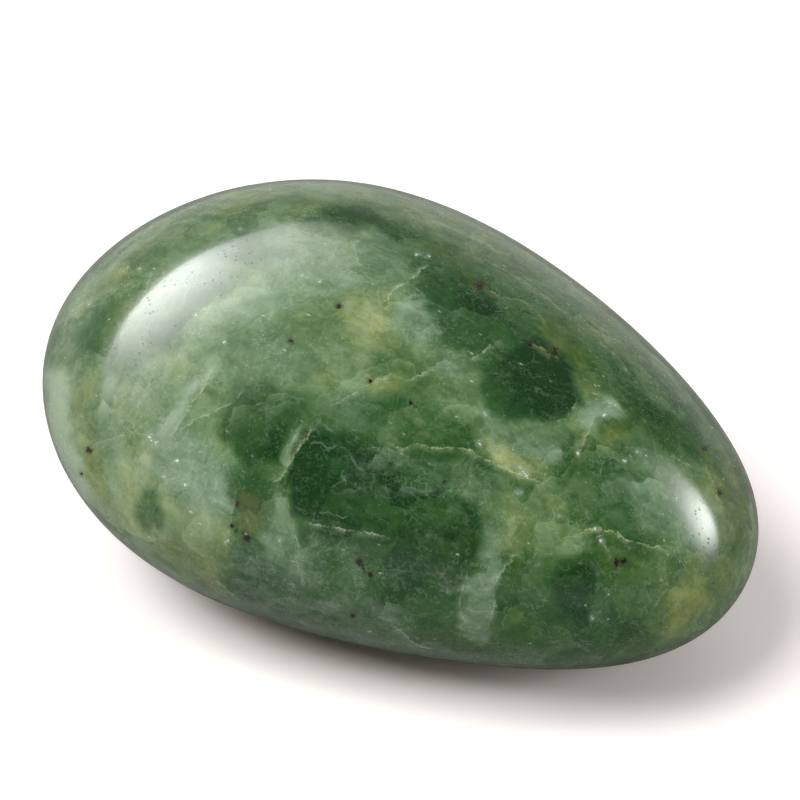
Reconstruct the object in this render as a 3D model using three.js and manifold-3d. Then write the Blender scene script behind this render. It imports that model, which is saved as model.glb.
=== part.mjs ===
// A hand-sized polished jade stone: one solid, egg-shaped from above, resting on a small worn flat.
// Millimetres, +Z up. +X points to the narrow end, and the stone stands on z = 0 with its
// bounding box centred on the Z axis.
import * as THREE from "three";
import { mergeVertices } from "three/addons/utils/BufferGeometryUtils.js";
import Module from "manifold-3d";

// Driving dimensions of the egg, before it is laid down and its flat is worn.
const LENGTH = 95; // along its own long axis
const WIDTH = 68; // across, at the middle of that axis
const THICKNESS = 47; // through, at the middle of that axis

// How the girth changes along the axis: 1 + a t + b t^2 + c t^3, listed as [a, b, c], with t from
// -1 at the blunt end to +1 at the narrow end.
const WIDTH_TAPER = [-0.18, 0.02, 0.14];
const THICKNESS_TAPER = [-0.28, 0, 0.18];
const CROWN = 0.02; // the upper side is fuller than the lower one by this share
const SIDE_BOW = 1.7; // the middle stands this far to +Y of the two ends
const RISE_BOW = 0.8; // and this far above them

const NOSE_DOWN = THREE.MathUtils.degToRad(7); // the narrow end dips, as the stone lies by itself
const REST_WEAR = 0.9; // height worn off underneath, which leaves the flat that it rests on

// Broad faces worn nearly flat by tumbling: the way each one looks, the depth that it has lost there,
// and the distance over which it blends into the round of the stone.
const WORN_FACES = [
  { name: "front shoulder", looks: [-0.25, -0.85, 0.46], lost: 0.35, blend: 1.6 },
  { name: "back left cheek", looks: [-0.62, 0.76, -0.2], lost: 0.9, blend: 1.8 },
  { name: "back right cheek", looks: [0.45, 0.88, 0.12], lost: 0.8, blend: 1.8 },
  { name: "crown slope", looks: [0.3, 0.25, 0.92], lost: 0.3, blend: 1.6 },
];

const FINENESS = 17; // the solid has 20 * (FINENESS + 1)^2 triangles before the flat is cut

const JADE = { color: 0x5f8a5c, roughness: 0.16, metalness: 0.0 };

const taper = ([a, b, c], t) => 1 + t * (a + t * (b + t * c));

// Carries a point of the unit sphere to the egg, whose long axis is still level.
function eggPoint(onSphere) {
  const { x: t, y: side, z: height } = onSphere;
  const bow = 1 - t * t;
  return new THREE.Vector3(
    (LENGTH / 2) * t,
    (WIDTH / 2) * taper(WIDTH_TAPER, t) * side + SIDE_BOW * bow,
    (THICKNESS / 2) * taper(THICKNESS_TAPER, t) * (height + CROWN * height * height) + RISE_BOW * bow,
  );
}

// Pushes the points that stand past a plane back towards it, with a soft edge.
function wearFace(points, { looks, lost, blend }) {
  const way = new THREE.Vector3(...looks).normalize();
  const reach = points.map((p) => p.dot(way));
  const plane = Math.max(...reach) - lost;
  points.forEach((p, i) => {
    const past = blend * Math.log1p(Math.exp((reach[i] - plane) / blend));
    p.addScaledVector(way, -past);
  });
}

function stoneSurface() {
  const geometry = new THREE.IcosahedronGeometry(1, FINENESS);
  geometry.deleteAttribute("normal");
  geometry.deleteAttribute("uv");
  const surface = mergeVertices(geometry, 1e-5);
  const position = surface.getAttribute("position");
  const lie = new THREE.Euler(0, NOSE_DOWN, 0);
  const points = Array.from({ length: position.count }, (_, i) =>
    eggPoint(new THREE.Vector3().fromBufferAttribute(position, i).normalize()).applyEuler(lie),
  );
  WORN_FACES.forEach((face) => wearFace(points, face));
  points.forEach((p, i) => position.setXYZ(i, p.x, p.y, p.z));
  return surface;
}

// Sets the surface down so that cutting at z = 0 takes REST_WEAR off underneath.
function setDown(surface) {
  surface.computeBoundingBox();
  const { min, max } = surface.boundingBox;
  return surface.translate(-(min.x + max.x) / 2, -(min.y + max.y) / 2, -min.z - REST_WEAR);
}

const wasm = await Module();
wasm.setup();

function solidOf(geometry) {
  return new wasm.Manifold(
    new wasm.Mesh({
      numProp: 3,
      vertProperties: new Float32Array(geometry.getAttribute("position").array),
      triVerts: new Uint32Array(geometry.index.array),
    }),
  );
}

function geometryOf(solid) {
  const { vertProperties, triVerts } = solid.getMesh();
  return new THREE.BufferGeometry()
    .setAttribute("position", new THREE.BufferAttribute(vertProperties, 3))
    .setIndex(new THREE.BufferAttribute(triVerts, 1));
}

// What lies under the table top, which the stone is cut against.
function belowTable() {
  const side = 2 * LENGTH;
  const slab = new THREE.BoxGeometry(side, side, LENGTH).translate(0, 0, -LENGTH / 2);
  slab.deleteAttribute("normal");
  slab.deleteAttribute("uv");
  return solidOf(mergeVertices(slab));
}

const worn = solidOf(setDown(stoneSurface())).subtract(belowTable());
const geometry = geometryOf(worn);
geometry.computeVertexNormals();

const stone = new THREE.Mesh(geometry, new THREE.MeshStandardMaterial(JADE));
stone.name = "jade_stone";

const object = new THREE.Group();
object.name = "polished_jade_stone";
object.add(stone);

export default object;
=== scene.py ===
# A polished, hand-sized green jade stone, lying on a white table in soft studio light.
# Metres, +Z up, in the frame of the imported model.
import math

import bpy
import numpy as np
from mathutils import Matrix, Vector, noise


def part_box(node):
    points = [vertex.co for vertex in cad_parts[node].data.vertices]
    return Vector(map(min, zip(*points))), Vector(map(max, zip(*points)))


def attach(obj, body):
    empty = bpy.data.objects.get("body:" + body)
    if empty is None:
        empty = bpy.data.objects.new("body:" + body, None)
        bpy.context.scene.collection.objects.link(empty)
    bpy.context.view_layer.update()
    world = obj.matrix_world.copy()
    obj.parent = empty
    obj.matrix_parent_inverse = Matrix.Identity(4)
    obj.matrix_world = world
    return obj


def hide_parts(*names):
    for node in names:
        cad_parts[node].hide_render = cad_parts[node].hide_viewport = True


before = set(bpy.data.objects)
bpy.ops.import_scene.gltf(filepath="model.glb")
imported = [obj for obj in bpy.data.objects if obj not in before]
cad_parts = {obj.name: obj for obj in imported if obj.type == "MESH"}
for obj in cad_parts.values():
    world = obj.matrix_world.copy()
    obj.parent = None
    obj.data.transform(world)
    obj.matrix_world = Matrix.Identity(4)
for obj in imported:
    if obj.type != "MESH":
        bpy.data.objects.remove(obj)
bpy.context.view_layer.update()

# The stone's driving dimensions, as its solid has them.
MM = 0.001
LENGTH = 95 * MM  # along its own long axis
WIDTH = 68 * MM  # across, at the middle of that axis
THICKNESS = 47 * MM  # through, at the middle of that axis
WIDTH_TAPER = (-0.18, 0.02, 0.14)  # girth along the axis: 1 + a t + b t^2 + c t^3, t from -1 to 1
THICKNESS_TAPER = (-0.28, 0, 0.18)
CROWN = 0.02  # the upper side is fuller than the lower one by this share
SIDE_BOW = 1.7 * MM  # the middle stands this far to +Y of the two ends
RISE_BOW = 0.8 * MM  # and this far above them
NOSE_DOWN = math.radians(7)  # the narrow end dips
REST_WEAR = 0.9 * MM  # height worn off underneath

# Broad faces worn nearly flat by tumbling: the way each one looks, what it has lost, how softly it blends.
WORN_FACES = {
    "front shoulder": ((-0.25, -0.85, 0.46), 0.35 * MM, 1.6 * MM),
    "back left cheek": ((-0.62, 0.76, -0.2), 0.9 * MM, 1.8 * MM),
    "back right cheek": ((0.45, 0.88, 0.12), 0.8 * MM, 1.8 * MM),
    "crown slope": ((0.3, 0.25, 0.92), 0.3 * MM, 1.6 * MM),
}

MESH_STEPS = 120  # squares along each of the six sheets that wrap the stone
FLAT_EDGE = 0.14 * MM  # how softly the rest flat runs into the round
SWELLS = ((0.07 * MM, 21 * MM), (0.025 * MM, 8 * MM))  # height and breadth of the polish's slight unevenness

# The photo's frame and the camera that took it.
PHOTO_SIDE = 800  # pixels
SENSOR = 36  # millimetres, and so is the lens
LENS = 100
CAMERA_AZIMUTH = math.radians(30.7)
CAMERA_ELEVATION = math.radians(31.2)
CAMERA_DISTANCE = 277.3 * MM
FAR_ELEVATION = math.radians(4)  # of the place behind, from which the far side's markings are laid
CAMERA_AIM = Vector((-0.5, 0.6, 25.2)) * MM
FOCAL_PIXELS = LENS / SENSOR * PHOTO_SIDE


class Eye:
    """A place to look at the stone from, and where its points land in the picture from there."""

    def __init__(self, azimuth, elevation):
        sin_a, cos_a = math.sin(azimuth), math.cos(azimuth)
        sin_e, cos_e = math.sin(elevation), math.cos(elevation)
        self.back = Vector((sin_a * cos_e, -cos_a * cos_e, sin_e))
        self.right = Vector((cos_a, sin_a, 0))
        self.up = self.back.cross(self.right)
        self.place = CAMERA_AIM + self.back * CAMERA_DISTANCE

    def pixels(self, points):
        """Where points land, in pixels from the picture's top left corner."""
        seen = (points - np.array(self.place)) @ np.array((self.right, self.up, self.back)).T
        across, high, behind = seen.T
        middle = PHOTO_SIDE / 2
        return np.stack((middle - FOCAL_PIXELS * across / behind, middle + FOCAL_PIXELS * high / behind), 1)

    def facing(self, points, outward):
        """1 where the surface looks straight at this place, 0 at the outline, less behind it."""
        way = np.array(self.place) - points
        return (way * outward).sum(1) / np.linalg.norm(way, axis=1)


PHOTO_EYE = Eye(CAMERA_AZIMUTH, CAMERA_ELEVATION)
FAR_EYE = Eye(CAMERA_AZIMUTH + math.pi, FAR_ELEVATION)


# The stone's surface

def taper(shares, t):
    a, b, c = shares
    return 1 + t * (a + t * (b + t * c))


def ball(steps):
    """Points and squares of an evenly meshed unit ball: a cube's six sheets, blown up round."""
    line = np.tan(np.linspace(-math.pi / 4, math.pi / 4, steps + 1))
    first, second = np.meshgrid(line, line, indexing="ij")
    corner = np.arange((steps + 1) ** 2).reshape(steps + 1, steps + 1)
    square = np.stack((corner[:-1, :-1], corner[1:, :-1], corner[1:, 1:], corner[:-1, 1:]), -1).reshape(-1, 4)
    points, squares = [], []
    for axis in range(3):
        for side in (-1, 1):
            sheet = np.empty((steps + 1, steps + 1, 3))
            sheet[..., axis] = side
            sheet[..., (axis + 1) % 3] = first * side
            sheet[..., (axis + 2) % 3] = second
            squares.append(square + len(points) * corner.size)
            points.append(sheet.reshape(-1, 3))
    points = np.concatenate(points)
    points /= np.linalg.norm(points, axis=1, keepdims=True)
    _, kept, merged = np.unique(np.round(points, 7), axis=0, return_index=True, return_inverse=True)
    return points[kept], merged.reshape(-1)[np.concatenate(squares)]


def egg(on_ball):
    """Carries points of the unit ball to the egg as it lies, narrow end down."""
    t, side, height = on_ball.T
    bow = 1 - t * t
    x = LENGTH / 2 * t
    y = WIDTH / 2 * taper(WIDTH_TAPER, t) * side + SIDE_BOW * bow
    z = THICKNESS / 2 * taper(THICKNESS_TAPER, t) * (height + CROWN * height**2) + RISE_BOW * bow
    cos, sin = math.cos(NOSE_DOWN), math.sin(NOSE_DOWN)
    return np.stack((x * cos + z * sin, y, z * cos - x * sin), 1)


def past(reach, blend):
    """How far something stands past zero, with a soft start."""
    return blend * np.logaddexp(0, reach / blend)


def wear_face(points, looks, lost, blend):
    way = np.array(looks) / np.linalg.norm(looks)
    reach = points @ way
    return points - past(reach - (reach.max() - lost), blend)[:, None] * way


def outward_of(points, squares):
    """Each point's outward direction, from the squares round it."""
    a, b, c, d = (points[squares[:, k]] for k in range(4))
    across = np.cross(c - a, d - b)
    total = np.zeros_like(points)
    for k in range(4):
        np.add.at(total, squares[:, k], across)
    return total / np.linalg.norm(total, axis=1, keepdims=True)


def swell(points, height, breadth):
    return height * np.array([noise.noise(Vector(p) / breadth) for p in points])


def stone_surface():
    """Points, squares and outward directions of the stone where it lies."""
    on_ball, squares = ball(MESH_STEPS)
    points = egg(on_ball)
    for looks, lost, blend in WORN_FACES.values():
        points = wear_face(points, looks, lost, blend)
    low, high = (np.array(corner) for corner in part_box("jade_stone"))
    middle = (points.min(0) + points.max(0)) / 2
    points += (low + high) / 2 - middle
    points[:, 2] += low[2] - REST_WEAR - points[:, 2].min()
    outward = outward_of(points, squares)
    for height, breadth in SWELLS:
        points += outward * swell(points, height, breadth)[:, None]
    points[:, 2] = low[2] + past(points[:, 2] - low[2], FLAT_EDGE)
    return points, squares, outward_of(points, squares)


# Markings, placed by pixels of the photo

BASE_DEPTH = 0.43  # how deep the green is between the markings, from 0, pale, to 1, nearly black
BASE_LEAN = -0.25  # towards blue above 0 and towards olive below it
BASE_FIELD = np.array((BASE_DEPTH, BASE_LEAN, 0.0, 0.0))  # with no milk and no stain
FADED = 0.6  # how much weaker a zone that fades is at its far end
FADES_FROM = 0.25  # the share of its length after which it fades


class Zone:
    """A part of the stone of its own colour: its outline in pixels and how the green changes inside it."""

    def __init__(self, outline, depth=BASE_DEPTH, lean=BASE_LEAN, milk=0.0, stain=0.0, soft=7, fades=None):
        self.outline = np.array(outline, float)
        self.green = np.array((depth, lean, milk, stain))
        self.soft = soft  # pixels to each side of the outline
        self.fades = fades  # the way towards its weaker end

    def share(self, pixels):
        """1 well inside the outline and 0 well outside it."""
        nearest = np.full(len(pixels), np.inf)
        inside = np.zeros(len(pixels), bool)
        for start, end in zip(self.outline, np.roll(self.outline, -1, axis=0)):
            distance, _, _ = from_line(pixels, start, end)
            nearest = np.minimum(nearest, distance)
            crosses = (start[1] > pixels[:, 1]) != (end[1] > pixels[:, 1])
            rise = end[1] - start[1]
            if rise:
                cut = start[0] + (pixels[:, 1] - start[1]) * (end[0] - start[0]) / rise
                inside ^= crosses & (pixels[:, 0] < cut)
        share = smooth(np.where(inside, nearest, -nearest), -self.soft, self.soft)
        if self.fades is not None:
            way = np.array(self.fades) / np.linalg.norm(self.fades)
            reach = self.outline @ way
            share *= 1 - FADED * smooth(pixels @ way, reach.min() + FADES_FROM * np.ptp(reach), reach.max())
        return share


class Seam:
    """A healed crack: its course in pixels, its strength, and how warm its filling is."""

    def __init__(self, course, strength=0.8, warm=0.4):
        self.course = np.array(course, float)
        self.strength = strength
        self.warm = warm


def smooth(value, low, high):
    t = np.clip((value - low) / (high - low), 0, 1)
    return t * t * (3 - 2 * t)


def from_line(pixels, start, end):
    """Distance from a straight line, the share of its length passed, and the side (1 or -1)."""
    along = end - start
    away = pixels - start
    passed = np.clip(away @ along / (along @ along), 0, 1)
    distance = np.linalg.norm(away - passed[:, None] * along, axis=1)
    side = np.where(along[0] * away[:, 1] - along[1] * away[:, 0] < 0, -1.0, 1.0)
    return distance, passed, side


# Zones are laid one over another in this order: the broad ones come first. Some broad ones also carry painted
# light and shade: paler at the upper left, deeper at the lower front and right.
BROAD_ZONES = {
    # milky stone, and partly painted light: the upper left is made paler
    "left shoulder, partly painted light": Zone([(60, 300), (120, 240), (220, 200), (330, 218), (320, 300), (240, 365),
        (160, 425), (90, 450), (55, 400)], depth=0.35, lean=-0.1, milk=0.36, soft=26),
    "under the left highlight": Zone([(104, 372), (118, 335), (146, 290), (196, 256), (262, 228),
        (300, 240), (250, 268), (205, 305), (172, 350), (132, 385)], depth=0.68, lean=0.05, soft=14),
    "left foot": Zone([(85, 460), (150, 425), (225, 460), (240, 560), (180, 580), (120, 540)], depth=0.25,
        lean=-0.35, milk=0.26, soft=20),
    # painted shade: the lower front is made a deeper green
    "lower front, painted shade": Zone([(290, 500), (400, 490), (470, 520), (560, 560), (640, 560), (700, 600), (640, 700),
        (400, 700), (240, 640), (235, 560)], depth=0.71, lean=-0.25, milk=0.08, soft=22),
    "grey foot": Zone([(228, 542), (330, 540), (400, 578), (420, 645), (320, 640), (248, 612)], depth=0.76,
        lean=-0.1, milk=0.36, soft=20),
    "field of the hearts": Zone([(215, 400), (290, 385), (380, 385), (470, 430), (480, 520), (440, 560),
        (350, 600), (300, 545), (270, 480)], depth=0.67, lean=-0.05, milk=0.06, soft=20),
    "right shoulder": Zone([(400, 255), (470, 240), (560, 290), (650, 350), (710, 430), (700, 465),
        (640, 430), (570, 400), (500, 385), (440, 330)], depth=0.69, lean=-0.15, soft=20),
    "green under the highlight": Zone([(228, 330), (300, 303), (345, 322), (352, 380), (290, 388),
        (235, 372)], depth=0.5, lean=-0.12, soft=22),
    "nose field": Zone([(560, 450), (640, 440), (690, 480), (690, 560), (620, 560), (560, 520)], depth=0.75,
        lean=-0.1, milk=0.12, soft=20),
    "low right corner": Zone([(640, 570), (720, 545), (742, 560), (700, 640), (650, 655)], depth=0.59,
        lean=-0.4, milk=0.08, soft=16),
}

DEEP_ZONES = {
    "left heart": Zone([(222, 413), (245, 388), (278, 388), (302, 402), (302, 425), (275, 462), (245, 470),
        (228, 452), (219, 432)], depth=1.0, lean=-0.25, soft=9, fades=(-0.3, -1)),
    "middle heart": Zone([(309, 433), (352, 438), (368, 452), (352, 475), (345, 503), (318, 520),
        (290, 512), (287, 470), (295, 455)], depth=1.14, lean=-0.15, soft=7, fades=(1, 0.1)),
    "blue field": Zone([(345, 452), (440, 452), (470, 470), (475, 520), (440, 530), (390, 535), (345, 528),
        (340, 490)], depth=0.94, lean=0.3, milk=0.14, soft=12),
    "spot over the long seam": Zone([(429, 422), (450, 418), (462, 432), (455, 446), (435, 445)],
        depth=0.88, lean=-0.3, soft=8),
    "blue heart": Zone([(520, 340), (548, 333), (573, 372), (578, 402), (562, 420), (535, 425), (512, 430),
        (492, 417), (484, 392), (486, 366), (503, 350)], depth=1.2, lean=0.35, soft=9, fades=(-1, 0.5)),
    "upper field": Zone([(409, 285), (440, 262), (484, 275), (500, 300), (515, 330), (490, 350), (470, 360),
        (440, 350), (415, 330)], depth=0.78, lean=0.15, milk=0.06, soft=16),
    "teal pocket": Zone([(353, 243), (385, 236), (410, 255), (401, 283), (375, 285), (355, 262)],
        depth=0.47, lean=0.3, soft=7),
    "crown streak": Zone([(303, 214), (331, 206), (376, 206), (388, 222), (350, 229), (322, 224)],
        depth=0.84, lean=-0.35, soft=10),
    "second crown streak": Zone([(370, 220), (400, 222), (422, 232), (424, 241), (395, 241)], depth=0.85,
        lean=-0.4, soft=8),
    "grass wedge": Zone([(556, 338), (575, 345), (590, 360), (585, 377), (566, 362)], depth=0.76, lean=-1.2,
        soft=6),
    "right flank": Zone([(622, 350), (655, 368), (692, 420), (692, 450), (666, 442), (640, 408),
        (620, 378)], depth=0.84, lean=-0.5, soft=12),
    "flank spot": Zone([(652, 412), (678, 414), (690, 438), (670, 442)], depth=0.8, lean=-0.7, soft=10),
    "low right heart": Zone([(554, 590), (575, 560), (600, 548), (614, 560), (604, 590), (585, 618),
        (560, 622)], depth=0.98, lean=-0.55, soft=9, fades=(0.6, -1)),
    "low middle green": Zone([(493, 606), (520, 600), (549, 612), (552, 640), (525, 647), (500, 640)],
        depth=0.72, lean=-0.6, soft=11),
    "nose slope": Zone([(566, 480), (600, 468), (626, 478), (618, 515), (585, 524), (564, 505)], depth=0.58,
        lean=0, soft=14),
    "olive hollow": Zone([(396, 512), (420, 503), (441, 515), (448, 536), (430, 546), (404, 541)],
        depth=0.74, lean=-0.8, stain=0.2, soft=12),
    "hollow's dark edge": Zone([(420, 507), (432, 508), (434, 518), (424, 520)], depth=0.95, lean=-0.4,
        soft=4),
    "round spot": Zone([(440, 537), (450, 537), (453, 546), (446, 551), (438, 546)], depth=0.98, lean=-0.2,
        soft=4),
    "lone spot": Zone([(529, 551), (538, 551), (540, 560), (533, 563), (527, 558)], depth=0.8, lean=-0.5,
        soft=4),
    "left band": Zone([(62, 385), (70, 335), (96, 285), (138, 243), (190, 213), (250, 200), (262, 214),
        (205, 238), (160, 268), (122, 312), (103, 355), (90, 392), (76, 405)], depth=0.44, lean=-0.1,
        soft=14),
    "left band's core": Zone([(80, 352), (92, 318), (110, 292), (116, 300), (100, 330), (88, 362)],
        depth=0.62, lean=0.1, soft=10),
    "right rim band": Zone([(700, 445), (722, 452), (746, 500), (750, 540), (738, 562), (728, 520),
        (712, 482)], depth=0.67, lean=-1.1, soft=11),
    "left foot green": Zone([(138, 492), (158, 496), (162, 528), (148, 534), (136, 512)], depth=0.6,
        lean=-0.2, soft=7),
    "foot field": Zone([(395, 548), (470, 548), (462, 590), (440, 625), (400, 612), (376, 575)], depth=0.82,
        lean=-0.2, milk=0.18, soft=14),
    "left foot blue": Zone([(225, 545), (262, 540), (290, 565), (298, 592), (270, 606), (235, 590)],
        depth=0.74, lean=0.2, milk=0.36, soft=12),
    "felt below the long seam": Zone([(445, 452), (475, 455), (498, 468), (498, 500), (475, 512),
        (452, 492)], depth=0.78, lean=-0.05, milk=0.24, soft=12),
    "spot under the blue heart": Zone([(440, 422), (466, 424), (474, 446), (446, 447)], depth=0.82,
        lean=-0.25, soft=5),
    "deep olive": Zone([(406, 396), (426, 397), (432, 416), (412, 414)], depth=0.78, lean=-0.7, soft=5),
    "green between the hearts": Zone([(372, 350), (410, 352), (440, 400), (468, 440), (430, 452),
        (385, 425), (365, 385)], depth=0.71, lean=-0.4, soft=16),
    "green before the wedge": Zone([(214, 452), (262, 468), (262, 520), (228, 538), (206, 500)], depth=0.76,
        lean=-0.1, milk=0.1, soft=12),
    "upper right band": Zone([(500, 262), (560, 290), (610, 330), (600, 350), (565, 318), (520, 290)],
        depth=0.64, lean=-0.5, soft=16),
    "green above the foot": Zone([(372, 545), (405, 508), (476, 506), (482, 560), (455, 588), (392, 582)],
        depth=0.93, lean=-0.2, milk=0.12, soft=13),
    "under the blue field": Zone([(318, 505), (352, 500), (400, 512), (412, 540), (372, 560), (322, 545)],
        depth=0.9, lean=0.05, soft=10),
}

PALE_ZONES = {
    "upper veil": Zone([(262, 222), (300, 222), (345, 237), (372, 288), (340, 300), (300, 290), (268, 262)],
        milk=0.5, lean=-0.05, soft=16),
    "left milk field": Zone([(143, 428), (175, 424), (215, 440), (226, 470), (230, 510), (205, 520),
        (175, 500), (150, 470)], depth=0.46, milk=0.5, lean=0.12, soft=12),
    "feather": Zone([(199, 380), (216, 370), (190, 408), (168, 438), (154, 436), (178, 405)], milk=0.8,
        lean=0.1, soft=6),
    "pale wedge": Zone([(262, 486), (282, 500), (295, 529), (299, 561), (285, 564), (270, 553), (257, 537),
        (270, 515)], depth=0.5, milk=0.36, lean=0.2, soft=5),
    "ochre cloud": Zone([(345, 298), (383, 295), (392, 325), (372, 345), (345, 330)], depth=0.36, milk=0.34,
        lean=-0.65, stain=0.16, soft=11),
    "centre fog": Zone([(395, 290), (425, 300), (440, 335), (420, 350), (398, 330)], milk=0.42, lean=0.2,
        soft=9),
    "upright band": Zone([(484, 470), (502, 478), (503, 540), (495, 600), (490, 640), (464, 640),
        (458, 600), (474, 560), (478, 520)], depth=0.62, milk=0.46, lean=0.1, soft=7, fades=(0.5, -1)),
    "low right field": Zone([(499, 488), (540, 486), (566, 495), (582, 530), (556, 540), (540, 560),
        (500, 572), (495, 540)], depth=0.54, milk=0.24, lean=-0.35, soft=9, fades=(0.2, 1)),
    "pale web": Zone([(586, 396), (606, 393), (624, 413), (605, 418), (590, 430), (578, 426)], milk=0.6,
        lean=0.25, soft=5),
    "yellow seam's field": Zone([(484, 440), (515, 444), (545, 478), (519, 476), (490, 460)], depth=0.34,
        milk=0.5, lean=-0.9, soft=6),
    "pale strip by the grass": Zone([(576, 362), (597, 370), (600, 395), (586, 402), (574, 385)],
        depth=0.62, milk=0.1, lean=-0.75, soft=9),
    # painted reflection: the left rim is made pale, as the grazing polish there mirrors bright surroundings
    "left rim, painted reflection": Zone([(44, 372), (60, 366), (68, 392), (74, 440), (102, 510), (74, 508), (44, 430)],
        depth=0.02, milk=0.72, lean=0.1, soft=13),
    "web by the middle heart": Zone([(277, 462), (298, 436), (306, 431), (291, 463), (279, 479)], milk=0.45,
        lean=0.15, soft=4),
    "streak on the flank": Zone([(556, 302), (600, 322), (645, 362), (684, 412), (676, 416), (632, 376),
        (590, 338)], depth=0.56, milk=0.14, lean=-0.3, soft=5),
    "bright centre": Zone([(438, 343), (468, 362), (472, 398), (450, 390), (428, 362)], depth=0.52,
        milk=0.34, lean=-0.2, soft=9),
    "milk under the blue heart": Zone([(478, 420), (515, 434), (560, 428), (580, 440), (560, 462),
        (520, 450), (492, 440)], depth=0.55, milk=0.35, lean=0.25, soft=9),
    # partly milky stone and partly painted highlight haze, where the right highlight falls
    "milky nose, partly painted highlight haze": Zone([(640, 440), (662, 452), (690, 500), (700, 540), (670, 560), (640, 530), (628, 480)],
        depth=0.5, milk=0.16, lean=0.0, soft=14),
    "olive by the nose": Zone([(596, 418), (626, 416), (622, 440), (606, 448), (596, 440)], depth=0.57,
        lean=-0.8, stain=0.25, soft=9),
    "left olive edge": Zone([(68, 382), (88, 378), (96, 420), (94, 462), (110, 505), (92, 492), (74, 430)],
        depth=0.35, lean=-0.5, soft=11),
    "ochre patch": Zone([(239, 487), (258, 495), (256, 530), (245, 537), (230, 532), (233, 505)],
        depth=0.72, lean=-0.8, stain=0.5, soft=8),
    "centre ochre": Zone([(363, 376), (401, 371), (405, 390), (372, 394)], depth=0.58, lean=-0.9,
        stain=0.35, soft=8),
    "shoulder ochre": Zone([(543, 311), (558, 315), (567, 345), (552, 354), (540, 335)], depth=0.64,
        lean=-0.8, stain=0.3, soft=9),
    "crown olive": Zone([(425, 238), (447, 240), (472, 260), (492, 285), (478, 288), (452, 264),
        (428, 254)], depth=0.7, lean=-0.8, soft=11),
    "yellow foot": Zone([(672, 590), (705, 584), (716, 598), (692, 630), (664, 642)], depth=0.37,
        lean=-0.55, soft=12),
    "left foot field": Zone([(165, 520), (205, 525), (228, 545), (215, 575), (180, 565), (160, 545)],
        depth=0.36, lean=-0.5, milk=0.12, soft=14),
    "speckled olive": Zone([(429, 463), (462, 458), (482, 480), (474, 505), (446, 500)], depth=0.62,
        lean=-0.45, milk=0.24, soft=11),
    "web in the blue field": Zone([(402, 462), (436, 460), (446, 490), (422, 502), (400, 490)], depth=0.7,
        milk=0.26, lean=0.0, soft=9),
    # painted reflection: pale bands along the lower left and bottom edges, where the polish mirrors the white
    # floor
    "lower left edge, painted floor reflection": Zone([(88, 500), (120, 535), (165, 572), (215, 600), (205, 616), (150, 588),
        (105, 548), (78, 508)], depth=0.32, milk=0.2, lean=-0.35, soft=9),
    "bottom edge, painted floor reflection": Zone([(300, 614), (380, 636), (460, 649), (540, 652), (545, 668), (460, 665), (370, 654),
        (290, 634)], depth=0.6, milk=0.2, lean=-0.1, soft=7),
    "foot of the heart": Zone([(300, 535), (345, 535), (372, 560), (350, 590), (310, 570)], depth=0.8,
        lean=0.0, milk=0.32, soft=14),
}

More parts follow.
